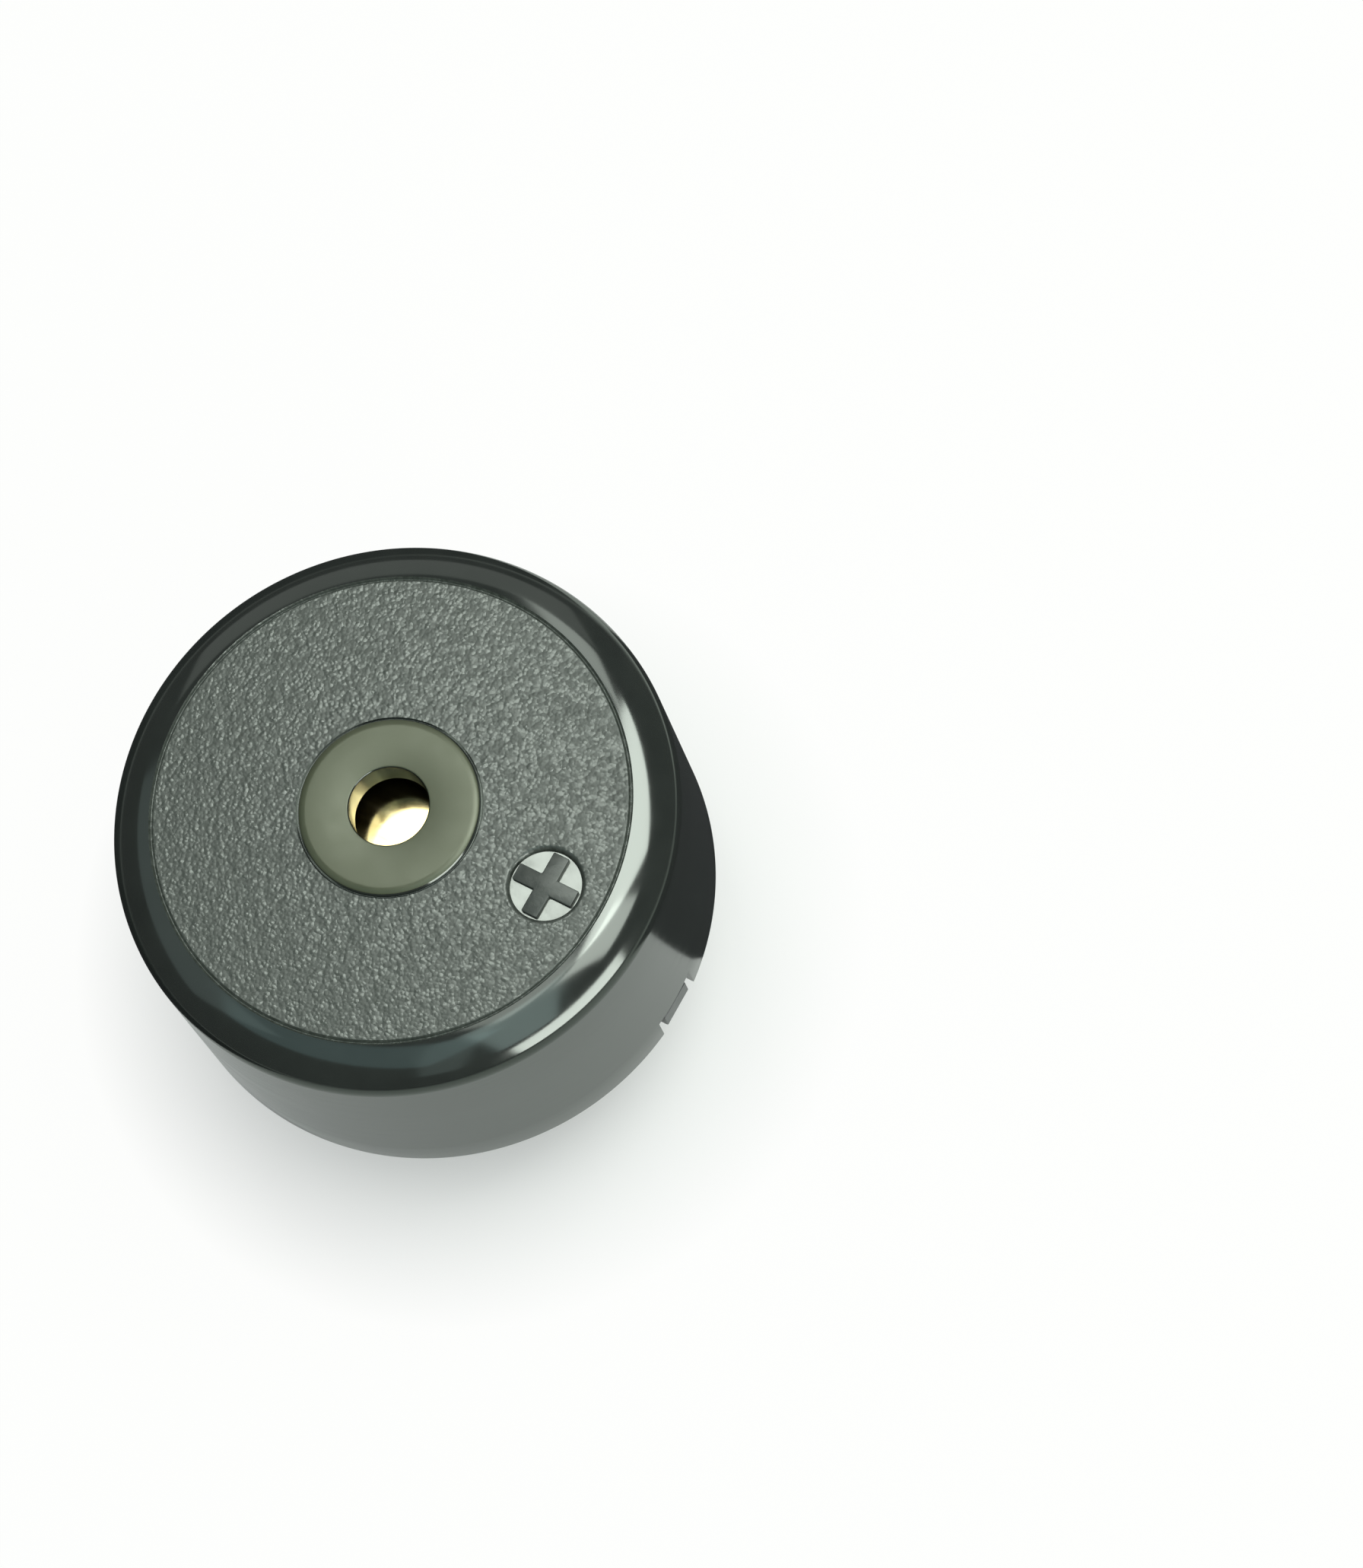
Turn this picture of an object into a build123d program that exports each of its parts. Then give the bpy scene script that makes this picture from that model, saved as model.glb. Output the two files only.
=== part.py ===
"""Round self-drive piezo buzzer with two straight board pins, in millimetres.

Z = 0 is the seating plane, where the rim of the case meets a circuit board. +Z points out of the
sounding face, and +X points at the positive pin, which lies in line with the rim notch and the face mark.
"""

import os
from math import cos, radians, sin, tan

from build123d import *

os.makedirs("parts", exist_ok=True)

# Case: a moulded cup with its open end on the seating plane
case_diameter = 24.0
case_height = 11.0
face_thickness = 1.2
cavity_wall = 1.6
rim_wall = 0.8
edge_width = 1.8
edge_drop = 1.15
edge_start_angle = 12.0

# Face: a fine line round the stippled panel, a centre boss with the sound hole, and a round mark recess
panel_line_width = 0.2
panel_line_depth = 0.15
boss_diameter = 7.6
boss_height = 0.2
boss_chamfer = 0.15
sound_hole_diameter = 3.4
mark_inset = 2.5
mark_diameter = 3.2
mark_depth = 0.25

# Sound chamber: a ridge inside the face holds the diaphragm at its nodal circle, in a silicone bead
chamber_depth = 1.3
nodal_circle_share = 0.68
ridge_wall = 0.6
bond_thickness = 0.1
bead_width = 0.4

# Sounding element: a brass disc with a smaller ceramic disc under it
diaphragm_clearance = 0.4
diaphragm_thickness = 0.2
brass_margin = 3.0
ceramic_thickness = 0.2

# Base plate: a flange on the case's inner shoulder and a raised panel inside a groove
plate_recess = 0.1
panel_thickness = 1.0
groove_width = 1.0
flange_thickness = 0.6
flange_clearance = 0.1
tab_width = 1.8
tab_setback = 0.1
tab_clearance = 0.4
sign_spacing = 3.6
sign_diameter = 3.2
sign_depth = 0.2
pin_boss_diameter = 2.6
pin_boss_height = 0.9

# Pins: a slim leg below the plate, and a thicker shank pressed through it and soldered to the drive board
pin_diameter = 0.7
pin_shank_diameter = 1.1
pin_inset = 3.7
pin_length = 6.5
pin_chamfer = 0.1
pin_rise = 0.9
pin_solder_diameter = 2.2
pin_solder_height = 0.6

# Drive board
board_clearance = 0.6
board_thickness = 1.0
pin_hole_clearance = 0.1

# Transistor: a small moulded body with three gull-wing legs
transistor_length = 2.9
transistor_width = 1.3
transistor_height = 0.95
transistor_lift = 0.1
leg_pitch = 1.9
leg_width = 0.4
leg_thickness = 0.12
leg_shoulder = 0.28
leg_length = 0.6
transistor_place_shares = (0.0, -0.2)

# Chip resistors: ceramic bodies with a metal cap round each end
chip_length = 2.0
chip_width = 1.25
chip_height = 0.55
cap_length = 0.4
cap_skin = 0.04
base_resistor_place_shares = (-0.36, -0.46)
bias_resistor_place_shares = (0.0, -0.56)
collector_resistor_place_shares = (0.36, -0.46)

# Lead wires: upright from a solder pad on the board, then bent over to a joint under the element
lead_diameter = 0.35
lead_stand_share = 0.3
lead_bend_share = 0.45
lead_solder_diameter = 1.3
lead_solder_height = 0.5
solder_tip_wall = 0.1
main_pad_shares = (-0.45, 0.3)
main_joint_shares = (-0.5, 0.38)
feedback_pad_shares = (0.1, 0.62)
feedback_joint_shares = (0.08, 0.75)
common_pad_shares = (0.58, 0.54)
common_joint_share = 0.7

# Radii that follow from the sizes above
case_radius = case_diameter / 2
rim_radius = case_radius - rim_wall
cavity_radius = case_radius - cavity_wall
panel_line_outer = case_radius - edge_width
panel_line_inner = panel_line_outer - panel_line_width
boss_radius = boss_diameter / 2
hole_radius = sound_hole_diameter / 2
diaphragm_radius = cavity_radius - diaphragm_clearance
ceramic_radius = diaphragm_radius - brass_margin
ridge_inner = nodal_circle_share * diaphragm_radius - ridge_wall / 2
ridge_outer = ridge_inner + ridge_wall
flange_radius = rim_radius - flange_clearance
panel_radius = rim_radius - groove_width
board_radius = cavity_radius - board_clearance
pin_radius = pin_diameter / 2
shank_radius = pin_shank_diameter / 2
pin_offset = rim_radius - pin_inset
sign_offset = pin_offset - sign_spacing
mark_offset = panel_line_inner - mark_inset

# Direction in which the rounded edge leaves the face
edge_start = (cos(radians(edge_start_angle)), -sin(radians(edge_start_angle)))

# Heights that follow from the sizes above, from the seating plane up
groove_floor = plate_recess + panel_thickness
shoulder = groove_floor + flange_thickness
board_bottom = shoulder + pin_boss_height
board_top = board_bottom + board_thickness
pin_top = board_top + pin_rise
face_inside = case_height - face_thickness
boss_top = case_height + boss_height
panel_line_floor = case_height - panel_line_depth
diaphragm_top = face_inside - chamber_depth
diaphragm_bottom = diaphragm_top - diaphragm_thickness
ceramic_bottom = diaphragm_bottom - ceramic_thickness
ridge_bottom = diaphragm_top + bond_thickness

# The notch is as deep as the tab that it keys, with clearance
notch_width = tab_width + 2 * tab_clearance
notch_depth = groove_floor + tab_clearance


def place(shares, radius):
    """A point given as shares of a round piece's radius."""
    return (shares[0] * radius, shares[1] * radius)


def solder_cone(point, up, bore_radius, wire_radius, foot_diameter, height):
    """A cone of solder on a flat face, pointing up or down, with a bore where the wire runs right through."""
    side = Plane(origin=point, x_dir=(1, 0, 0), z_dir=(0, -up, 0))
    with BuildPart() as joint:
        with BuildSketch(side):
            with BuildLine():
                Polyline(
                    (bore_radius, 0),
                    (foot_diameter / 2, 0),
                    (wire_radius + solder_tip_wall, height),
                    (bore_radius, height),
                    close=True,
                )
            make_face()
        revolve(axis=Axis(point, (0, 0, 1)))
    return joint.part


# Case: one turned section, then the notch in the rim and the mark in the face
with BuildPart() as case:
    with BuildSketch(Plane.XZ):
        with BuildLine():
            Polyline(
                (hole_radius, boss_top),
                (hole_radius, face_inside),
                (ridge_inner, face_inside),
                (ridge_inner, ridge_bottom),
                (ridge_outer, ridge_bottom),
                (ridge_outer, face_inside),
                (cavity_radius, face_inside),
                (cavity_radius, shoulder),
                (rim_radius, shoulder),
                (rim_radius, 0),
                (case_radius, 0),
                (case_radius, case_height - edge_drop),
            )
            TangentArc(
                (panel_line_outer, case_height),
                (case_radius, case_height - edge_drop),
                tangent=edge_start,
            )
            Polyline(
                (panel_line_outer, case_height),
                (panel_line_outer - panel_line_width / 2, panel_line_floor),
                (panel_line_inner, case_height),
                (boss_radius, case_height),
                (boss_radius, boss_top),
                (hole_radius, boss_top),
            )
        make_face()
    revolve(axis=Axis.Z)
    chamfer(case.edges().group_by(Axis.Z)[-1], boss_chamfer)
    with BuildSketch():
        with Locations((case_radius, 0)):
            Rectangle(2 * (case_radius - panel_radius), notch_width)
    extrude(amount=notch_depth, mode=Mode.SUBTRACT)
    with BuildSketch(Plane.XY.offset(case_height)):
        with Locations((mark_offset, 0)):
            Circle(mark_diameter / 2)
    extrude(amount=-mark_depth, mode=Mode.SUBTRACT)
case.part.label = "case"
export_step(case.part, "parts/case.step")

# Base plate: flange, raised panel, key tab, bosses that hold the pins and carry the board, and sign recesses
with BuildPart() as base_plate:
    with BuildSketch(Plane.XY.offset(plate_recess)):
        Circle(panel_radius)
    extrude(amount=panel_thickness)
    with BuildSketch(Plane.XY.offset(groove_floor)):
        Circle(flange_radius)
    extrude(amount=flange_thickness)
    with BuildSketch(Plane.XY.offset(plate_recess)):
        Rectangle(case_radius - tab_setback, tab_width, align=(Align.MIN, Align.CENTER))
    extrude(amount=panel_thickness)
    with BuildSketch(Plane.XY.offset(shoulder)):
        with Locations((pin_offset, 0), (-pin_offset, 0)):
            Circle(pin_boss_diameter / 2)
    extrude(amount=pin_boss_height)
    with Locations((pin_offset, 0), (-pin_offset, 0)):
        Hole(shank_radius)
    with BuildSketch(Plane.XY.offset(plate_recess)):
        with Locations((sign_offset, 0), (-sign_offset, 0)):
            Circle(sign_diameter / 2)
    extrude(amount=sign_depth, mode=Mode.SUBTRACT)
base_plate.part.label = "base_plate"
export_step(base_plate.part, "parts/base_plate.step")

# Pins, each with its solder joint on the board
for side, pin_x in (("positive", pin_offset), ("negative", -pin_offset)):
    with BuildPart() as pin:
        with BuildSketch(Plane.XY.offset(-pin_length)):
            with Locations((pin_x, 0)):
                Circle(pin_radius)
        extrude(amount=pin_length + plate_recess)
        chamfer(pin.edges().group_by(Axis.Z)[0], pin_chamfer)
        with BuildSketch(Plane.XY.offset(plate_recess)):
            with Locations((pin_x, 0)):
                Circle(shank_radius)
        extrude(amount=pin_top - plate_recess)
    pin.part.label = f"{side}_pin"
    export_step(pin.part, f"parts/{side}_pin.step")

    pin_solder = solder_cone(
        (pin_x, 0, board_top), 1, shank_radius, shank_radius, pin_solder_diameter, pin_solder_height
    )
    pin_solder.label = f"{side}_pin_solder"
    export_step(pin_solder, f"parts/{side}_pin_solder.step")

# Brass diaphragm
with BuildPart() as brass_diaphragm:
    with BuildSketch(Plane.XY.offset(diaphragm_bottom)):
        Circle(diaphragm_radius)
    extrude(amount=diaphragm_thickness)
brass_diaphragm.part.label = "brass_diaphragm"
export_step(brass_diaphragm.part, "parts/brass_diaphragm.step")

# Piezo ceramic, bonded under the brass
with BuildPart() as piezo_ceramic:
    with BuildSketch(Plane.XY.offset(ceramic_bottom)):
        Circle(ceramic_radius)
    extrude(amount=ceramic_thickness)
piezo_ceramic.part.label = "piezo_ceramic"
export_step(piezo_ceramic.part, "parts/piezo_ceramic.step")

# Silicone bead: bonds the tip of the ridge and spreads on the brass
with BuildPart() as diaphragm_adhesive:
    with BuildSketch(Plane.XZ):
        with BuildLine():
            Polyline(
                (ridge_inner - bead_width, diaphragm_top),
                (ridge_outer + bead_width, diaphragm_top),
                (ridge_outer, ridge_bottom),
                (ridge_inner, ridge_bottom),
                close=True,
            )
        make_face()
    revolve(axis=Axis.Z)
diaphragm_adhesive.part.label = "diaphragm_adhesive"
export_step(diaphragm_adhesive.part, "parts/diaphragm_adhesive.step")

# Drive board, on the plate's pin bosses
with BuildPart() as drive_board:
    with BuildSketch(Plane.XY.offset(board_bottom)):
        Circle(board_radius)
        with Locations((pin_offset, 0), (-pin_offset, 0)):
            Circle(shank_radius + pin_hole_clearance, mode=Mode.SUBTRACT)
    extrude(amount=board_thickness)
drive_board.part.label = "drive_board"
export_step(drive_board.part, "parts/drive_board.step")

# Transistor: the body stands a little off the board on its legs
transistor_x, transistor_y = place(transistor_place_shares, board_radius)
leg_height = transistor_lift + transistor_height / 2
with BuildPart() as transistor:
    with BuildSketch(Plane.XY.offset(board_top + transistor_lift)):
        with Locations((transistor_x, transistor_y)):
            Rectangle(transistor_length, transistor_width)
    extrude(amount=transistor_height)
    for leg_x, leg_side in ((-leg_pitch / 2, -1), (leg_pitch / 2, -1), (0, 1)):
        leg_root = (transistor_x + leg_x, transistor_y + leg_side * transistor_width / 2, board_top)
        with BuildSketch(Plane(origin=leg_root, x_dir=(0, leg_side, 0), z_dir=(leg_side, 0, 0))):
            with BuildLine():
                Polyline(
                    (0, leg_height + leg_thickness / 2),
                    (leg_shoulder, leg_height + leg_thickness / 2),
                    (leg_shoulder, leg_thickness),
                    (leg_length, leg_thickness),
                    (leg_length, 0),
                    (leg_shoulder - leg_thickness, 0),
                    (leg_shoulder - leg_thickness, leg_height - leg_thickness / 2),
                    (0, leg_height - leg_thickness / 2),
                    close=True,
                )
            make_face()
        extrude(amount=leg_width / 2, both=True)
transistor.part.label = "transistor"
export_step(transistor.part, "parts/transistor.step")

# Chip resistors, flat on the board
for role, shares in (
    ("base", base_resistor_place_shares),
    ("bias", bias_resistor_place_shares),
    ("collector", collector_resistor_place_shares),
):
    chip_x, chip_y = place(shares, board_radius)
    cap_offset = (chip_length - cap_length) / 2
    with BuildPart() as resistor:
        with BuildSketch(Plane.XY.offset(board_top)):
            with Locations((chip_x - cap_offset, chip_y), (chip_x + cap_offset, chip_y)):
                Rectangle(cap_length, chip_width)
        extrude(amount=chip_height)
        with BuildSketch(Plane.XY.offset(board_top + cap_skin)):
            with Locations((chip_x, chip_y)):
                Rectangle(chip_length - cap_length, chip_width - 2 * cap_skin)
        extrude(amount=chip_height - 2 * cap_skin)
    resistor.part.label = f"{role}_resistor"
    export_step(resistor.part, f"parts/{role}_resistor.step")

# Lead wires: the main and feedback leads reach the ceramic, the common lead reaches the bare brass rim
lead_radius = lead_diameter / 2
pad_tip = board_top + lead_solder_height
brass_ring_radius = (ceramic_radius + diaphragm_radius) / 2
common_joint = (
    brass_ring_radius * common_joint_share,
    brass_ring_radius * (1 - common_joint_share**2) ** 0.5,
)
main_pad = place(main_pad_shares, board_radius)
main_joint = place(main_joint_shares, ceramic_radius)
feedback_pad = place(feedback_pad_shares, board_radius)
feedback_joint = place(feedback_joint_shares, ceramic_radius)
common_pad = place(common_pad_shares, board_radius)
for role, pad, joint, joint_height in (
    ("main", main_pad, main_joint, ceramic_bottom),
    ("feedback", feedback_pad, feedback_joint, ceramic_bottom),
    ("common", common_pad, common_joint, diaphragm_bottom),
):
    joint_tip = joint_height - lead_solder_height
    stand = lead_stand_share * (joint_tip - pad_tip)
    bend = Vector(*pad, pad_tip + stand)
    seat = Vector(*joint, joint_tip)
    slant = seat - bend
    turn = radians(Vector(0, 0, 1).get_angle(slant))
    with BuildPart() as lead:
        with BuildLine() as route:
            FilletPolyline(
                (*pad, pad_tip),
                bend,
                seat + slant.normalized() * lead_diameter,
                radius=lead_bend_share * min(stand, slant.length) / tan(turn / 2),
            )
        with BuildSketch(Plane.XY.offset(pad_tip)):
            with Locations(pad):
                Circle(lead_radius)
        sweep(path=route.line)
        split(bisect_by=Plane.XY.offset(joint_tip), keep=Keep.BOTTOM)
    lead.part.label = f"{role}_lead"
    export_step(lead.part, f"parts/{role}_lead.step")

    for end, point, up in (("pad", (*pad, board_top), 1), ("joint", (*joint, joint_height), -1)):
        lead_solder = solder_cone(point, up, 0, lead_radius, lead_solder_diameter, lead_solder_height)
        lead_solder.label = f"{role}_{end}_solder"
        export_step(lead_solder, f"parts/{role}_{end}_solder.step")
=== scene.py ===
"""Studio picture of a round piezo buzzer: moulded case, base plate, pins and finishes.

Sizes are in millimetres, azimuths and elevations in degrees.
"""

from math import acos, atan2, cos, hypot, pi, radians, sin, tan

import bmesh
import bpy
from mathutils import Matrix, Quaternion, Vector, noise


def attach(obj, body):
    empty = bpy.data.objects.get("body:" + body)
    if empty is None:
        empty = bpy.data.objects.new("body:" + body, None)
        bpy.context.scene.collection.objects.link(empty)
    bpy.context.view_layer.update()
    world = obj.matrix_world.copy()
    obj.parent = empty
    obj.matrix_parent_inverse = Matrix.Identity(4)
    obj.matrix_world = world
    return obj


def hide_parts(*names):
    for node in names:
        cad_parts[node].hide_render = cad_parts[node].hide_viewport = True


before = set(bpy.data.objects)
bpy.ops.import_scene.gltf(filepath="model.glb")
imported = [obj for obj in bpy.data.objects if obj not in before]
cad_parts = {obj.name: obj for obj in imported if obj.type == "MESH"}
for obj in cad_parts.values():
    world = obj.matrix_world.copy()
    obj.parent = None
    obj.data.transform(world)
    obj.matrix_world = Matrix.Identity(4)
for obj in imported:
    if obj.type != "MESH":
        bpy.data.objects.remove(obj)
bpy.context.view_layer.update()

MM = 0.001
axis = (0.0, 0.0)

# Case
case_radius = 12.0
case_height = 11.0
edge_width = 1.8
edge_drop = 1.15
edge_start_angle = radians(12)
panel_line_width = 0.2
panel_line_depth = 0.15
boss_radius = 3.8
boss_height = 0.2
sound_hole_radius = 1.7
face_inside = 9.8
ridge_radii = (6.5, 7.1)
ridge_bottom = 8.6
cavity_radius = 10.4
shoulder = 1.7
rim_radius = 11.2
mark_offset = 7.5
mark_radius = 1.6
mark_depth = 0.25
mark_lip = 0.1
mark_lip_angle = radians(75)
notch_width = 2.6
notch_depth = 1.5
cut_overrun = 0.2

# Rounding of the moulded edges
boss_slope = 0.3
boss_slope_drop = 0.09
boss_line_width = 0.15
boss_line_depth = 0.07
hole_round = 0.08
line_round = 0.03
bend_angle = radians(46)
rim_round = 0.12
plate_round = 0.06

# Sizes of the case that follow from these
edge_inner = case_radius - edge_width
edge_sweep = 2 * (atan2(edge_drop, edge_width) - edge_start_angle)
edge_radius = hypot(edge_width, edge_drop) / (2 * sin(edge_sweep / 2))
panel_radius = edge_inner - panel_line_width
boss_top = case_height + boss_height
grain_inner = boss_radius + boss_line_width
recess_floor = case_height - mark_depth

# Stippled face
stipple_step = 0.09
stipple_grain = 0.26
stipple_level_share = 0.4
stipple_speck_share = 0.25
stipple_height = 0.018
stipple_cell = 0.17
stipple_pit = 0.012
stipple_fade = 0.25

# Signs
sign_arm = 0.74
sign_span = 2.8
sign_rise = 0.2
plate_sign_arm = 0.5
plate_sign_span = 2.1
plate_sign_rise = 0.2
plate_sign_offset = 3.9
plate_sign_floor = 0.3
sign_round = 0.06

# Pins
pin_offset = 7.5
pin_radius = 0.35
pin_shank_radius = 0.55
pin_tip = -6.5
pin_step = 0.1
pin_top = 4.5
pin_tip_round = 0.12
pin_shank_round = 0.05

# Mesh fineness
lathe_steps = 540
pin_steps = 48
mark_steps = 96
round_steps = 5
edge_steps = 26
boss_edge_steps = 8
bend_steps = 12
sign_round_steps = 2
plate_round_steps = 3
wall_row_heights = (6.0, 3.0, 1.8)
crease = radians(38)
weld_gap = 0.002
level_gap = 1e-6
flat_angle = radians(0.5)

# Camera
view_azimuth = -29.8
view_elevation = 67.75
view_roll = -31.957
view_distance = 233.47
view_near = 5.0
view_far = 5000.0
picture_width = 1792
picture_height = 2061
picture_focus = 7430.9
face_pixel = (511.9, 1061.3)
sensor = 36.0

# Finishes of the case, in the order of its material slots
WALL, GRAIN, BOSS, POLISH, EDGE = range(5)

# Gloss of the plastic, tints and noise. The tints colour the gloss green, and on the boss yellow-green: a
# painted reflection colour of the surroundings
case_ior = 1.7
white = (1.0, 1.0, 1.0)
case_reflection_tint = (0.9, 1.0, 0.9)
wall_reflection_tint = (0.86, 1.0, 0.86)
boss_reflection_tint = (0.9, 1.0, 0.78)
unstretched = (1.0, 1.0, 1.0)
noise_shares = (0.3, 0.7)
whole_shares = (0.0, 1.0)
tone_detail = 3.0
bump_detail = 2.0
bump_grain_share = 0.5

# Studio
floor_level = -6.52
floor_radius = 900.0
floor_steps = 96
# Reach of the white floor and of its grey: the grey far away is a painted fall-off of light
floor_white = 80.0
floor_grey = 260.0
floor_rough = 0.8
floor_tone = (0.85, 0.905, 0.845)
painted_falloff_tone = (0.2, 0.205, 0.2)
glow_tone = (0.995, 1.0, 0.99)
glow_shares = (0.1, 0.96)
glow_reach = (9.0, 19.0)
mirror_glow_share = 0.25
right_flag = (2.0, 4.1, 62.0, 64.0)
left_flag = (-160.0, -130.0, -13.0, 160.0)
flag_thickness = 0.2
box_distance = 520.0
cool = (0.8, 0.96, 1.0)
left_cool = (0.8, 0.95, 1.0)
sky_blue = (0.62, 0.9, 1.0)
fill_tint = (0.96, 0.98, 1.0)
fill_strength = 0.09


def outline(corners):
    """Points of a path through (radius, height, rounding) corners."""
    points = []
    for at, (r, z, rounding) in enumerate(corners):
        here = Vector((r, z))
        if not rounding:
            points.append((r, z))
            continue
        before = (Vector(corners[at - 1][:2]) - here).normalized()
        after = (Vector(corners[(at + 1) % len(corners)][:2]) - here).normalized()
        half = acos(max(-1.0, min(1.0, before.dot(after)))) / 2
        middle = here + (before + after).normalized() * rounding / sin(half)
        start = here + before * rounding / tan(half) - middle
        end = here + after * rounding / tan(half) - middle
        turn = start.angle(end)
        for step in range(round_steps + 1):
            share = step / round_steps
            spoke = (start * sin(turn * (1 - share)) + end * sin(turn * share)) / sin(turn)
            points.append(tuple(middle + spoke))
    return points


def ring_points(centre, radius, steps):
    """Points of a circle."""
    angles = [2 * pi * step / steps for step in range(steps)]
    return [(centre[0] + radius * cos(a), centre[1] + radius * sin(a)) for a in angles]


def box_path(x0, y0, x1, y1):
    """Corners of a rectangle."""
    return [(x0, y0), (x1, y0), (x1, y1), (x0, y1)]


def mesh_object(name, verts, faces):
    """Piece in the scene with this mesh."""
    mesh = bpy.data.meshes.new(name)
    mesh.from_pydata(verts, [], faces)
    mesh.update()
    piece = bpy.data.objects.new(name, mesh)
    bpy.context.scene.collection.objects.link(piece)
    return piece


def lathe(name, path, steps, lift):
    """Closed path turned about the case's axis, with each point raised by what lift gives."""
    verts = []
    for r, z in path:
        for x, y in ring_points(axis, r, steps):
            verts.append((x * MM, y * MM, (z + lift(r, z, x, y)) * MM))
    faces = []
    rows = len(path)
    for row in range(rows):
        low, high = row * steps, (row + 1) % rows * steps
        for step in range(steps):
            ahead = (step + 1) % steps
            faces.append((low + step, low + ahead, high + ahead, high + step))
    return mesh_object(name, verts, faces)


def turned(name, path, steps, centre):
    """Solid of revolution whose open path starts and ends on the axis."""
    verts = [(centre[0] * MM, centre[1] * MM, path[0][1] * MM)]
    for r, z in path[1:-1]:
        verts += [(x * MM, y * MM, z * MM) for x, y in ring_points(centre, r, steps)]
    verts.append((centre[0] * MM, centre[1] * MM, path[-1][1] * MM))
    last = len(verts) - 1
    rows = len(path) - 2
    faces = []
    for step in range(steps):
        ahead = (step + 1) % steps
        faces.append((0, 1 + ahead, 1 + step))
        for row in range(rows - 1):
            low, high = 1 + row * steps, 1 + (row + 1) * steps
            faces.append((low + step, low + ahead, high + ahead, high + step))
        top = 1 + (rows - 1) * steps
        faces.append((top + step, top + ahead, last))
    return mesh_object(name, verts, faces)


def prism(name, path, low, high):
    """Upright prism on a closed path of (x, y) points."""
    count = len(path)
    verts = [(x * MM, y * MM, z * MM) for z in (low, high) for x, y in path]
    faces = [tuple(reversed(range(count))), tuple(range(count, 2 * count))]
    for at in range(count):
        ahead = (at + 1) % count
        faces.append((at, ahead, count + ahead, count + at))
    return mesh_object(name, verts, faces)


def bake(piece):
    """Keeps the shape that the piece's modifiers give."""
    shown = piece.evaluated_get(bpy.context.evaluated_depsgraph_get())
    mesh = bpy.data.meshes.new_from_object(shown)
    piece.modifiers.clear()
    piece.data = mesh


def cut(piece, cutter):
    """Takes the cutter's shape out of the piece, and the cutter out of the scene."""
    tool = piece.modifiers.new("cut", "BOOLEAN")
    tool.operation = "DIFFERENCE"
    tool.solver = "EXACT"
    tool.object = cutter
    bake(piece)
    bpy.data.objects.remove(cutter)


def mend(piece):
    """Clears doubled points and slivers that a cut leaves."""
    shape = bmesh.new()
    shape.from_mesh(piece.data)
    bmesh.ops.remove_doubles(shape, verts=shape.verts, dist=weld_gap * MM)
    bmesh.ops.dissolve_degenerate(shape, dist=weld_gap * MM, edges=shape.edges)
    shape.to_mesh(piece.data)
    shape.free()


def soften(piece, width, segments):
    """Rounds the sharp edges of a mesh piece."""
    tool = piece.modifiers.new("round", "BEVEL")
    tool.width = width * MM
    tool.segments = segments
    tool.limit_method = "ANGLE"
    tool.angle_limit = crease
    tool.harden_normals = False
    bake(piece)


def smooth(piece):
    """Shades the piece smooth, apart from its creases."""
    piece.data.shade_smooth()
    piece.data.set_sharp_from_angle(angle=crease)


def stipple(r, z, x, y):
    """Height of the moulded grain, which fades out at the borders of the face."""
    if abs(z - case_height) > level_gap or not grain_inner < r < panel_radius:
        return 0.0
    border = min(r - grain_inner, panel_radius - r)
    fade = min(1.0, border / stipple_fade)
    place = Vector((x, y, 0.0))
    pebble = stipple_level_share - noise.voronoi(place / stipple_grain)[0][0]
    speck = stipple_speck_share * noise.cell(place / stipple_step)
    return stipple_height * fade * (pebble + speck)


def arc_point(r, z, start, angle, radius):
    """Place where an arc that leaves (r, z) outwards at one slope has come to another."""
    return r + radius * (sin(angle) - sin(start)), z - radius * (cos(start) - cos(angle))


def falling_arc(r, z, start, sweep, radius, steps):
    """Corners between the ends of an arc that falls away outwards."""
    angles = [start + sweep * step / steps for step in range(1, steps)]
    return [(*arc_point(r, z, start, a, radius), 0) for a in angles]


def boss_corners():
    """Section of the boss, from the sound hole to the fine groove at its foot."""
    crown = boss_radius - boss_slope
    sweep = 2 * atan2(boss_slope_drop, boss_slope)
    corners = [(sound_hole_radius, boss_top, hole_round), (crown, boss_top, 0)]
    corners += falling_arc(crown, boss_top, 0.0, sweep, boss_slope / sin(sweep), boss_edge_steps)
    corners.append((boss_radius, boss_top - boss_slope_drop, 0))
    corners.append((boss_radius + boss_line_width / 2, case_height - boss_line_depth, line_round / 2))
    corners.append((grain_inner, case_height, 0))
    return corners


def face_corners():
    """Section of the grained face, with the line round it."""
    room = panel_radius - boss_radius
    count = round(room / stipple_step)
    rows = [boss_radius + room * row / count for row in range(count)]
    corners = [(r, case_height, 0) for r in rows if r > grain_inner]
    corners.append((panel_radius, case_height, line_round))
    corners.append((edge_inner - panel_line_width / 2, case_height - panel_line_depth, line_round))
    corners.append((edge_inner, case_height, 0))
    return corners


def edge_corners():
    """Section of the rounded edge, whose second arc leads into the wall."""
    sweep = bend_angle - edge_start_angle
    corners = falling_arc(edge_inner, case_height, edge_start_angle, sweep, edge_radius, edge_steps)
    r, z = arc_point(edge_inner, case_height, edge_start_angle, bend_angle, edge_radius)
    corners.append((r, z, 0))
    bend = (case_radius - r) / (1 - sin(bend_angle))
    corners += falling_arc(r, z, bend_angle, pi / 2 - bend_angle, bend, bend_steps)
    corners.append((case_radius, z - bend * cos(bend_angle), 0))
    return corners


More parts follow.
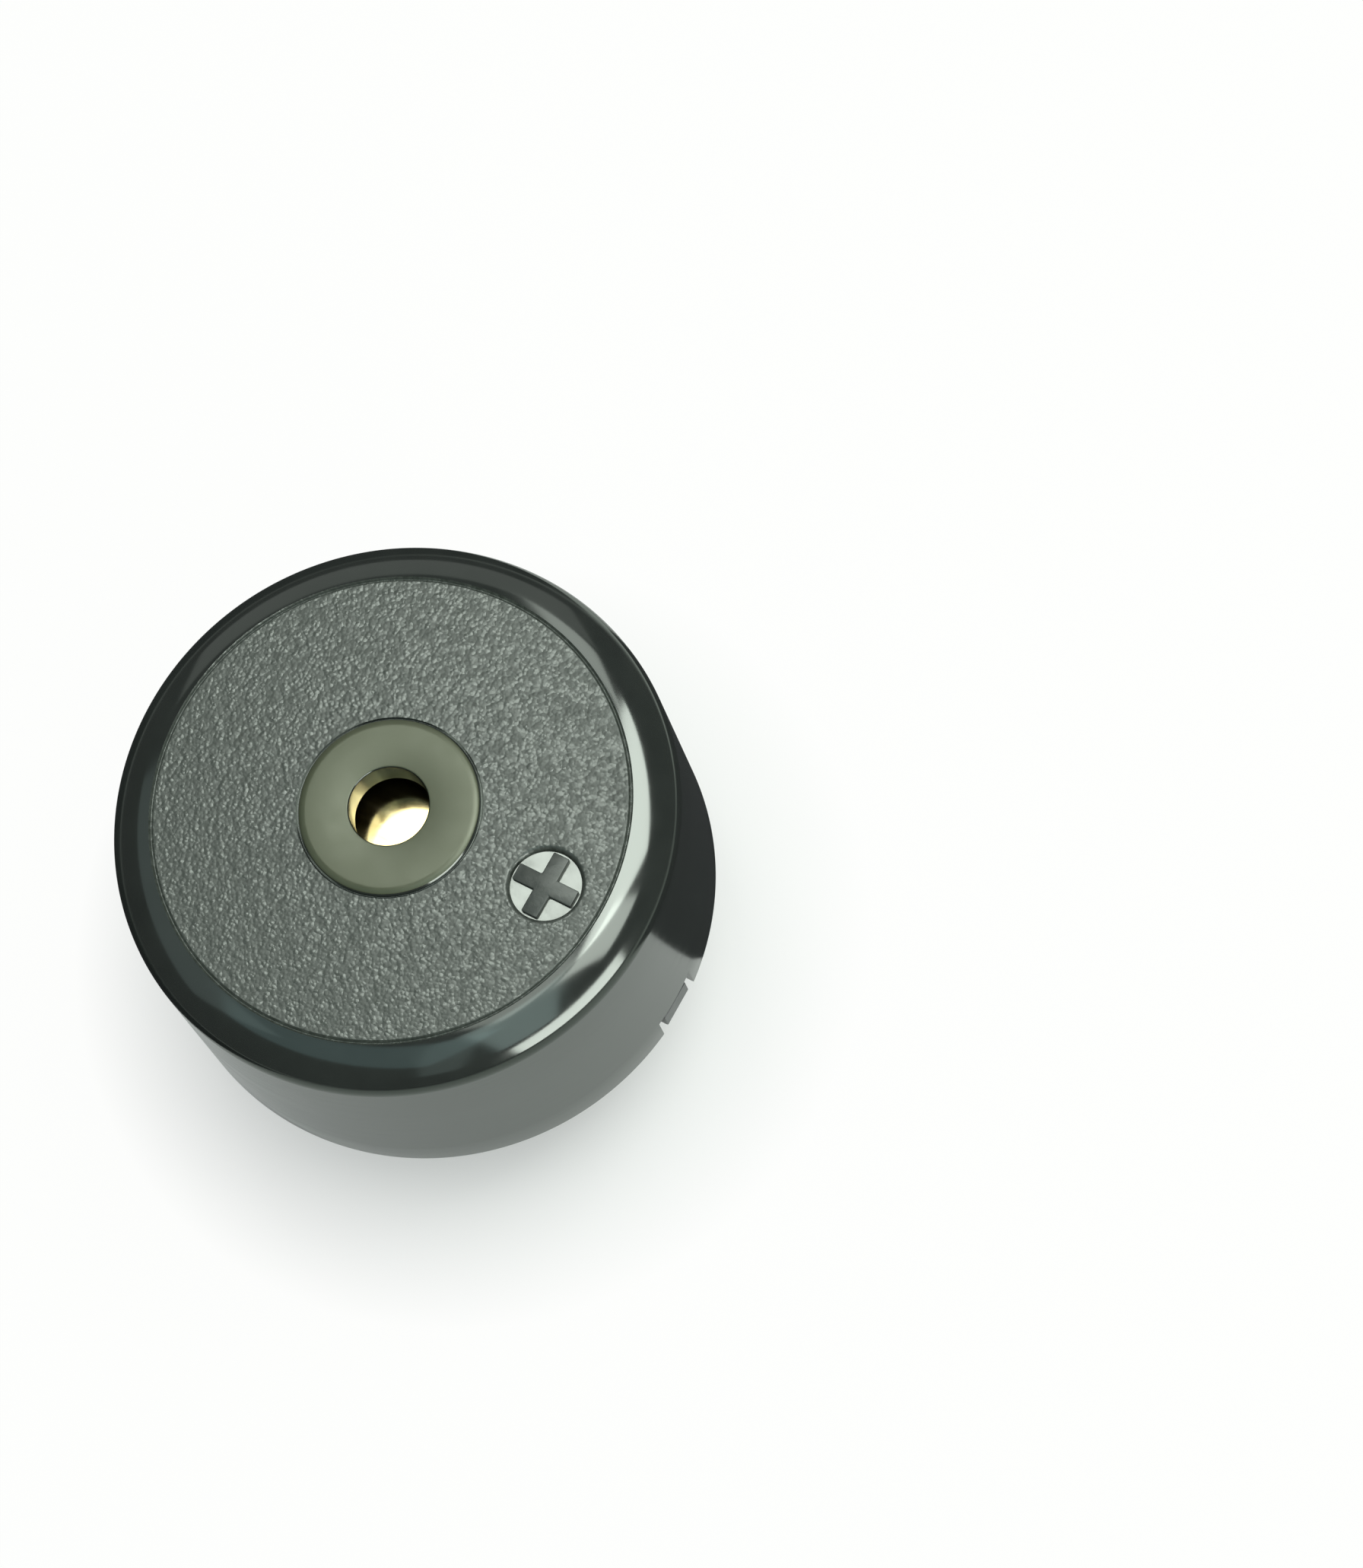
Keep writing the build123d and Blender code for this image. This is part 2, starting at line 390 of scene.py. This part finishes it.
def inside_corners():
    """Section of the wall and the rim, and of the inside up to the sound hole."""
    ridge_inner, ridge_outer = ridge_radii
    corners = [(case_radius, height, 0) for height in wall_row_heights]
    corners += [(case_radius, 0.0, rim_round), (rim_radius, 0.0, rim_round), (rim_radius, shoulder, 0)]
    corners += [(cavity_radius, shoulder, 0), (cavity_radius, face_inside, 0)]
    corners += [(ridge_outer, face_inside, 0), (ridge_outer, ridge_bottom, 0)]
    corners += [(ridge_inner, ridge_bottom, 0), (ridge_inner, face_inside, 0)]
    corners.append((sound_hole_radius, face_inside, 0))
    return corners


def case_path():
    """Section of the case, from the sound hole over the face and down the wall to the inside."""
    return outline(boss_corners() + face_corners() + edge_corners() + inside_corners())


def recess_path():
    """Section of the round recess, from its floor over the rounded lip."""
    lip = mark_depth / sin(mark_lip_angle)
    top = case_height + cut_overrun
    path = [(0.0, recess_floor)]
    for step in range(round_steps + 1):
        a = mark_lip_angle * step / round_steps
        path.append((mark_radius - mark_lip + lip * (1 - cos(a)), recess_floor + lip * sin(a)))
    return path + [(path[-1][0], top), (0.0, top)]


def case_finish(face):
    """Finish of a face of the case. The line round the grained face counts with it."""
    x, y, z = face.center / MM
    r = hypot(x, y)
    in_mark = hypot(x - mark_offset, y) < mark_radius + mark_lip
    if in_mark and face_inside < z < case_height - stipple_height:
        return GRAIN if z > recess_floor + stipple_height else POLISH
    if z > case_height - stipple_height and grain_inner < r < panel_radius:
        return GRAIN
    if sound_hole_radius + hole_round / 2 < r < boss_radius and z > case_height:
        return BOSS
    if r < grain_inner and z > recess_floor:
        return EDGE
    if panel_radius < r < edge_inner and z > recess_floor:
        return GRAIN
    if z > case_height - edge_drop and r > panel_radius:
        return EDGE if face.normal.z > cos(edge_start_angle + edge_sweep) else WALL
    return WALL


def case():
    """Moulded cup with its mark recess and rim notch."""
    piece = lathe("moulded_case", case_path(), lathe_steps, stipple)
    cut(piece, turned("recess", recess_path(), mark_steps, (mark_offset, 0.0)))
    side = notch_width / 2
    slot = box_path(cavity_radius, -side, case_radius + cut_overrun, side)
    cut(piece, prism("slot", slot, -cut_overrun, notch_depth))
    mend(piece)
    smooth(piece)
    for material in (wall_plastic(), grained_plastic(), boss_plastic(), polished_plastic(), edge_plastic()):
        piece.data.materials.append(material)
    for face in piece.data.polygons:
        face.material_index = case_finish(face)
    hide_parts("case")
    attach(piece, "root")


def cross_path(middle, arm, span):
    """Outline of a plus sign whose middle is on the X axis."""
    a, s = arm / 2, span / 2
    path = [(-a, -s), (a, -s), (a, -a), (s, -a), (s, a), (a, a),
            (a, s), (-a, s), (-a, a), (-s, a), (-s, -a), (-a, -a)]
    return [(middle + x, y) for x, y in path]


def bar_path(middle, arm, span):
    """Outline of a minus sign whose middle is on the X axis."""
    return box_path(middle - span / 2, -arm / 2, middle + span / 2, arm / 2)


def sign(name, path, low, high, material):
    """Raised sign that stands on the floor of its recess."""
    piece = prism(name, path, low, high)
    soften(piece, sign_round, sign_round_steps)
    smooth(piece)
    piece.data.materials.append(material)
    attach(piece, "root")


def signs():
    """Plus on the face, and plus and minus on the underside of the plate."""
    plus = cross_path(mark_offset, sign_arm, sign_span)
    low, high = recess_floor - sign_round, recess_floor + sign_rise
    sign("face_plus", plus, low, high, sign_plastic())
    low, high = plate_sign_floor - plate_sign_rise, plate_sign_floor + sign_round
    plate = plate_plastic()
    plus = cross_path(plate_sign_offset, plate_sign_arm, plate_sign_span)
    sign("plate_plus", plus, low, high, plate)
    minus = bar_path(-plate_sign_offset, plate_sign_arm, plate_sign_span)
    sign("plate_minus", minus, low, high, plate)


def base_plate():
    """The plate in its modelled form, with softened edges."""
    shape = bmesh.new()
    shape.from_mesh(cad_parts["base_plate"].data)
    bmesh.ops.remove_doubles(shape, verts=shape.verts, dist=weld_gap * MM)
    bmesh.ops.dissolve_limit(shape, angle_limit=flat_angle, verts=shape.verts, edges=shape.edges)
    piece = mesh_object("moulded_plate", [], [])
    shape.to_mesh(piece.data)
    shape.free()
    piece.data.materials.clear()
    soften(piece, plate_round, plate_round_steps)
    smooth(piece)
    even = piece.modifiers.new("even", "WEIGHTED_NORMAL")
    even.keep_sharp = True
    bake(piece)
    piece.data.materials.append(plate_plastic())
    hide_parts("base_plate")
    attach(piece, "root")


def pin(name, x, node, material):
    """Slim leg with a rounded tip below a thicker shank."""
    corners = [(0.0, pin_tip, 0), (pin_radius, pin_tip, pin_tip_round), (pin_radius, pin_step, 0),
               (pin_shank_radius, pin_step, pin_shank_round),
               (pin_shank_radius, pin_top, pin_shank_round), (0.0, pin_top, 0)]
    piece = turned(name, outline(corners), pin_steps, (x, 0.0))
    smooth(piece)
    piece.data.materials.append(material)
    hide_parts(node)
    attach(piece, "root")


def node_material(name):
    """New material, with its node tree, its shader and the place on the object."""
    material = bpy.data.materials.new(name)
    material.use_nodes = True
    tree = material.node_tree
    shader = tree.nodes["Principled BSDF"]
    place = tree.nodes.new("ShaderNodeTexCoord")
    return material, tree, shader, place.outputs["Object"]


def grain(tree, place, size, detail, stretch):
    """Noise of one grain size, in millimetres."""
    mapping = tree.nodes.new("ShaderNodeMapping")
    mapping.inputs["Scale"].default_value = stretch
    texture = tree.nodes.new("ShaderNodeTexNoise")
    texture.inputs["Scale"].default_value = 1 / (size * MM)
    texture.inputs["Detail"].default_value = detail
    tree.links.new(place, mapping.inputs["Vector"])
    tree.links.new(mapping.outputs["Vector"], texture.inputs["Vector"])
    return texture.outputs["Fac"]


def spread(tree, value, source, target):
    """Maps a value from one range onto another."""
    ramp = tree.nodes.new("ShaderNodeMapRange")
    ramp.inputs["From Min"].default_value = source[0]
    ramp.inputs["From Max"].default_value = source[1]
    ramp.inputs["To Min"].default_value = target[0]
    ramp.inputs["To Max"].default_value = target[1]
    tree.links.new(value, ramp.inputs["Value"])
    return ramp.outputs["Result"]


def tones(tree, value, dark, light, shares=noise_shares):
    """Colour between two tones of one finish."""
    ramp = tree.nodes.new("ShaderNodeValToRGB")
    for stop, share, tone in zip(ramp.color_ramp.elements, shares, (dark, light)):
        stop.position = share
        stop.color = (*tone, 1.0)
    tree.links.new(value, ramp.inputs["Fac"])
    return ramp.outputs["Color"]


def bumps(tree, shader, value, height):
    """Fine relief of the surface."""
    bump = tree.nodes.new("ShaderNodeBump")
    bump.inputs["Distance"].default_value = height * MM
    tree.links.new(value, bump.inputs["Height"])
    tree.links.new(bump.outputs["Normal"], shader.inputs["Normal"])


def coat(shader, gloss, tint, ior):
    """Gloss layer of a finish."""
    shader.inputs["IOR"].default_value = ior
    shader.inputs["Specular IOR Level"].default_value = gloss
    shader.inputs["Specular Tint"].default_value = (*tint, 1.0)


def finish(name, dark, light, rough, size, bump=0.0, metal=0.0,
           gloss=0.5, tint=white, stretch=unstretched, ior=1.5):
    """Procedural finish: two tones, a range of roughness and a fine surface."""
    material, tree, shader, place = node_material(name)
    value = grain(tree, place, size, tone_detail, stretch)
    tree.links.new(tones(tree, value, dark, light), shader.inputs["Base Color"])
    tree.links.new(spread(tree, value, noise_shares, rough), shader.inputs["Roughness"])
    shader.inputs["Metallic"].default_value = metal
    coat(shader, gloss, tint, ior)
    if bump:
        fine = grain(tree, place, size * bump_grain_share, bump_detail, stretch)
        bumps(tree, shader, fine, bump)
    return material


def wall_plastic():
    return finish("wall_plastic", dark=(0.014, 0.0163, 0.0147), light=(0.019, 0.022, 0.02),
                  rough=(0.12, 0.17), size=1.2, bump=0.001, gloss=0.43, tint=wall_reflection_tint,
                  stretch=(0.25, 0.25, 3.0), ior=case_ior)


def edge_plastic():
    return finish("edge_plastic", dark=(0.014, 0.0175, 0.015), light=(0.019, 0.0233, 0.02),
                  rough=(0.1, 0.14), size=1.6, gloss=1.0, tint=case_reflection_tint, ior=case_ior)


def grained_plastic():
    """Moulded grain: each small cell has its own tone and gloss, with pits between the cells."""
    dark, light = (0.0275, 0.035, 0.0275), (0.058, 0.069, 0.058)
    rough = (0.44, 0.26)
    material, tree, shader, place = node_material("grained_plastic")
    cells = tree.nodes.new("ShaderNodeTexVoronoi")
    cells.inputs["Scale"].default_value = 1 / (stipple_cell * MM)
    tree.links.new(place, cells.inputs["Vector"])
    value = cells.outputs["Color"]
    tree.links.new(tones(tree, value, dark, light), shader.inputs["Base Color"])
    tree.links.new(spread(tree, value, noise_shares, rough), shader.inputs["Roughness"])
    coat(shader, gloss=0.71, tint=case_reflection_tint, ior=case_ior)
    bumps(tree, shader, cells.outputs["Distance"], -stipple_pit)
    return material


def boss_plastic():
    return finish("boss_plastic", dark=(0.06, 0.072, 0.04), light=(0.068, 0.08, 0.045),
                  rough=(0.32, 0.38), size=0.8, bump=0.001, gloss=0.62, tint=boss_reflection_tint, ior=case_ior)


def polished_plastic():
    return finish("polished_plastic", dark=(0.05, 0.055, 0.047), light=(0.06, 0.067, 0.055),
                  rough=(0.1, 0.2), size=0.9, bump=0.008, gloss=0.85, tint=case_reflection_tint, ior=case_ior)


def sign_plastic():
    return finish("sign_plastic", dark=(0.04, 0.047, 0.04), light=(0.063, 0.072, 0.063),
                  rough=(0.34, 0.46), size=0.25, bump=0.01, tint=case_reflection_tint, ior=case_ior)


def plate_plastic():
    return finish("plate_plastic", dark=(0.05, 0.057, 0.053), light=(0.066, 0.074, 0.069),
                  rough=(0.34, 0.46), size=0.7, bump=0.004, ior=case_ior)


def tinned_metal():
    return finish("tinned_metal", dark=(0.68, 0.69, 0.62), light=(0.8, 0.81, 0.74),
                  rough=(0.22, 0.34), size=0.35, bump=0.003, metal=1.0, stretch=(1.0, 1.0, 0.2))


def brass_sheet():
    return finish("rolled_brass", dark=(0.8, 0.65, 0.27), light=(0.9, 0.77, 0.38),
                  rough=(0.1, 0.18), size=0.5, bump=0.001, metal=1.0, stretch=(0.12, 1.0, 1.0))


def silver_electrode():
    return finish("silver_electrode", dark=(0.68, 0.68, 0.65), light=(0.78, 0.78, 0.75),
                  rough=(0.42, 0.55), size=0.3, bump=0.004, metal=0.8)


def soft_silicone():
    return finish("soft_silicone", dark=(0.74, 0.74, 0.71), light=(0.82, 0.82, 0.79),
                  rough=(0.35, 0.45), size=0.9, bump=0.006)


def board_laminate():
    return finish("board_laminate", dark=(0.36, 0.22, 0.09), light=(0.46, 0.3, 0.14),
                  rough=(0.4, 0.55), size=0.6, bump=0.004, stretch=(0.3, 1.0, 1.0))


def moulding_compound():
    return finish("moulding_compound", dark=(0.018, 0.018, 0.02), light=(0.028, 0.028, 0.03),
                  rough=(0.5, 0.62), size=0.2, bump=0.004)


def resistor_ceramic():
    return finish("resistor_ceramic", dark=(0.02, 0.02, 0.024), light=(0.032, 0.032, 0.036),
                  rough=(0.35, 0.5), size=0.3, bump=0.003)


def sleeve(name, dark, light):
    return finish(name, dark, light, rough=(0.25, 0.33), size=0.5, bump=0.002)


def bright_solder():
    return finish("bright_solder", dark=(0.62, 0.63, 0.64), light=(0.74, 0.75, 0.76),
                  rough=(0.2, 0.32), size=0.35, bump=0.006, metal=1.0)


def flag_cloth():
    return finish("flag_cloth", dark=(0.02, 0.023, 0.023), light=(0.03, 0.034, 0.034),
                  rough=(0.8, 0.9), size=3.0)


def dress(node, material):
    """Gives a carried-over part its finish."""
    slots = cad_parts[node].data.materials
    slots.clear()
    slots.append(material)


def inner_parts():
    """Finishes of the parts inside the case."""
    solder = bright_solder()
    resistor = resistor_ceramic()
    dress("brass_diaphragm", brass_sheet())
    dress("piezo_ceramic", silver_electrode())
    dress("diaphragm_adhesive", soft_silicone())
    dress("drive_board", board_laminate())
    dress("transistor", moulding_compound())
    for name in ("base", "bias", "collector"):
        dress(f"{name}_resistor", resistor)
    for name in ("positive", "negative"):
        dress(f"{name}_pin_solder", solder)
    for name in ("main", "feedback", "common"):
        dress(f"{name}_pad_solder", solder)
        dress(f"{name}_joint_solder", solder)
    dress("main_lead", sleeve("red_sleeve", dark=(0.34, 0.02, 0.015), light=(0.44, 0.03, 0.02)))
    dress("feedback_lead", sleeve("blue_sleeve", dark=(0.02, 0.05, 0.26), light=(0.03, 0.07, 0.34)))
    dress("common_lead", sleeve("black_sleeve", dark=(0.012, 0.012, 0.012), light=(0.02, 0.02, 0.02)))


def floor():
    """Flat pale floor, white round the object and greyer far away, where the fall-off of light is painted.
    It can be seen through from below.
    """
    ring = ring_points(axis, floor_radius, floor_steps)
    verts = [(x * MM, y * MM, floor_level * MM) for x, y in ring]
    piece = mesh_object("studio_floor", verts, [tuple(range(floor_steps))])
    piece.data.materials.append(floor_paint())


def flag(name, x0, y0, x1, y1):
    """Dark card on the floor, which only shows as a dark side in the gloss of the case."""
    piece = prism(name, box_path(x0, y0, x1, y1), floor_level, floor_level + flag_thickness)
    piece.data.materials.append(flag_cloth())
    piece.visible_camera = False
    piece.visible_diffuse = False
    piece.visible_shadow = False


def maths(tree, operation, *values):
    """Result of one operation on sockets and plain numbers."""
    node = tree.nodes.new("ShaderNodeMath")
    node.operation = operation
    for at, value in enumerate(values):
        if isinstance(value, float):
            node.inputs[at].default_value = value
        else:
            tree.links.new(value, node.inputs[at])
    return node.outputs["Value"]


def mixed(tree, share, first, second):
    """Surface between two others."""
    mix = tree.nodes.new("ShaderNodeMixShader")
    tree.links.new(share, mix.inputs["Fac"])
    tree.links.new(first, mix.inputs[1])
    tree.links.new(second, mix.inputs[2])
    return mix.outputs["Shader"]


def floor_paint():
    """White paint that fades to grey with distance, a painted fall-off of light, with a glow of its own.

    The camera sees mostly the glow, but less of it close under the case, where the real shade shows.
    Reflections see a small share of it. The floor casts no shadow, and from below it is clear.
    """
    material, tree, shader, place = node_material("floor_paint")
    length = tree.nodes.new("ShaderNodeVectorMath")
    length.operation = "LENGTH"
    tree.links.new(place, length.inputs[0])
    distance = length.outputs["Value"]
    # Painted fall-off of light: paint and glow turn grey away from the object
    fade = spread(tree, distance, (floor_white * MM, floor_grey * MM), whole_shares)
    paint = tones(tree, fade, floor_tone, painted_falloff_tone, whole_shares)
    tree.links.new(paint, shader.inputs["Base Color"])
    shader.inputs["Roughness"].default_value = floor_rough
    glow = tree.nodes.new("ShaderNodeEmission")
    glow_colour = tones(tree, fade, glow_tone, painted_falloff_tone, whole_shares)
    tree.links.new(glow_colour, glow.inputs["Color"])
    ray = tree.nodes.new("ShaderNodeLightPath").outputs
    mirrored = maths(tree, "MAXIMUM", ray["Is Glossy Ray"], ray["Is Transmission Ray"])
    dimmed = maths(tree, "MULTIPLY", mirrored, mirror_glow_share)
    shade = spread(tree, distance, (glow_reach[0] * MM, glow_reach[1] * MM), glow_shares)
    share = maths(tree, "MULTIPLY_ADD", ray["Is Camera Ray"], shade, dimmed)
    surface = mixed(tree, share, shader.outputs["BSDF"], glow.outputs["Emission"])
    side = tree.nodes.new("ShaderNodeNewGeometry").outputs
    open_share = maths(tree, "MAXIMUM", side["Backfacing"], ray["Is Shadow Ray"])
    clear = tree.nodes.new("ShaderNodeBsdfTransparent").outputs["BSDF"]
    sheet = mixed(tree, open_share, surface, clear)
    tree.links.new(sheet, tree.nodes["Material Output"].inputs["Surface"])
    return material


def direction(azimuth, elevation):
    """Unit vector towards a place given in degrees."""
    a, e = radians(azimuth), radians(elevation)
    return Vector((cos(e) * cos(a), cos(e) * sin(a), sin(e)))


def softbox(name, azimuth, elevation, width, height, radiance, distance=box_distance, colour=white):
    """Area light aimed at the face, given by the radiance of its sheet."""
    light = bpy.data.lights.new(name, "AREA")
    light.shape = "RECTANGLE"
    light.size = width * MM
    light.size_y = height * MM
    light.energy = radiance * pi * width * height * MM * MM
    light.color = colour
    lamp = bpy.data.objects.new(name, light)
    aim = direction(azimuth, elevation)
    lamp.location = (Vector((0.0, 0.0, case_height)) + distance * aim) * MM
    lamp.rotation_mode = "QUATERNION"
    lamp.rotation_quaternion = aim.to_track_quat("Z", "Y")
    lamp.visible_camera = False
    bpy.context.scene.collection.objects.link(lamp)
    return lamp


def lights():
    """Soft boxes round the object and one under the floor, which shows in no gloss."""
    softbox("key", azimuth=61.0, elevation=62.0, width=300.0, height=300.0, radiance=5.0)
    softbox("side", azimuth=14.0, elevation=56.0, width=150.0, height=260.0, radiance=2.8)
    softbox("far", azimuth=102.0, elevation=46.0, width=130.0, height=170.0, radiance=1.6)
    softbox("bridge", azimuth=-30.0, elevation=54.0, width=170.0, height=440.0, radiance=0.93, colour=cool)
    softbox("front", azimuth=-58.0, elevation=50.0, width=110.0, height=440.0, radiance=0.23, colour=cool)
    softbox("crown", azimuth=-15.0, elevation=80.0, width=140.0, height=140.0, radiance=1.3)
    softbox("top", azimuth=133.0, elevation=69.8, width=42.0, height=42.0, radiance=6.0, distance=165.7)
    softbox("strip", azimuth=-16.0, elevation=15.0, width=360.0, height=230.0, radiance=4.9)
    softbox("rear", azimuth=130.0, elevation=24.0, width=640.0, height=280.0, radiance=0.28)
    softbox("sky", azimuth=-95.0, elevation=60.0, width=460.0, height=260.0, radiance=0.28, colour=sky_blue)
    softbox("left", azimuth=-156.0, elevation=46.0, width=400.0, height=280.0, radiance=0.23,
            colour=left_cool)
    under = softbox("under", azimuth=0.0, elevation=-90.0, width=260.0, height=260.0, radiance=1.8,
                    distance=300.0)
    under.visible_glossy = False


def fill():
    """Dim even light from all sides."""
    world = bpy.data.worlds.new("studio")
    world.use_nodes = True
    background = world.node_tree.nodes["Background"]
    background.inputs["Color"].default_value = (*fill_tint, 1.0)
    background.inputs["Strength"].default_value = fill_strength
    bpy.context.scene.world = world


def camera():
    """Camera at the photograph's place, with the face where the photograph shows it."""
    aim = direction(view_azimuth, view_elevation)
    look = (-aim).to_track_quat("-Z", "Y")
    roll = Quaternion((0.0, 0.0, 1.0), radians(view_roll))
    across = (face_pixel[0] - picture_width / 2) / picture_focus
    down = (face_pixel[1] - picture_height / 2) / picture_focus
    swing = Vector((across, -down, -1.0)).rotation_difference(Vector((0.0, 0.0, -1.0)))
    data = bpy.data.cameras.new("camera")
    data.sensor_width = sensor
    data.lens = picture_focus * sensor / picture_height
    data.clip_start = view_near * MM
    data.clip_end = view_far * MM
    eye = bpy.data.objects.new("camera", data)
    eye.location = (Vector((0.0, 0.0, case_height)) + view_distance * aim) * MM
    eye.rotation_mode = "QUATERNION"
    eye.rotation_quaternion = look @ roll @ swing
    bpy.context.scene.collection.objects.link(eye)
    bpy.context.scene.camera = eye


def build():
    """Makes the pieces, then the studio round them."""
    case()
    signs()
    base_plate()
    metal = tinned_metal()
    pin("plus_pin", pin_offset, "positive_pin", metal)
    pin("minus_pin", -pin_offset, "negative_pin", metal)
    inner_parts()
    floor()
    flag("right_flag", *right_flag)
    flag("left_flag", *left_flag)
    lights()
    fill()
    camera()
    bpy.context.scene.view_settings.view_transform = "Standard"


build()
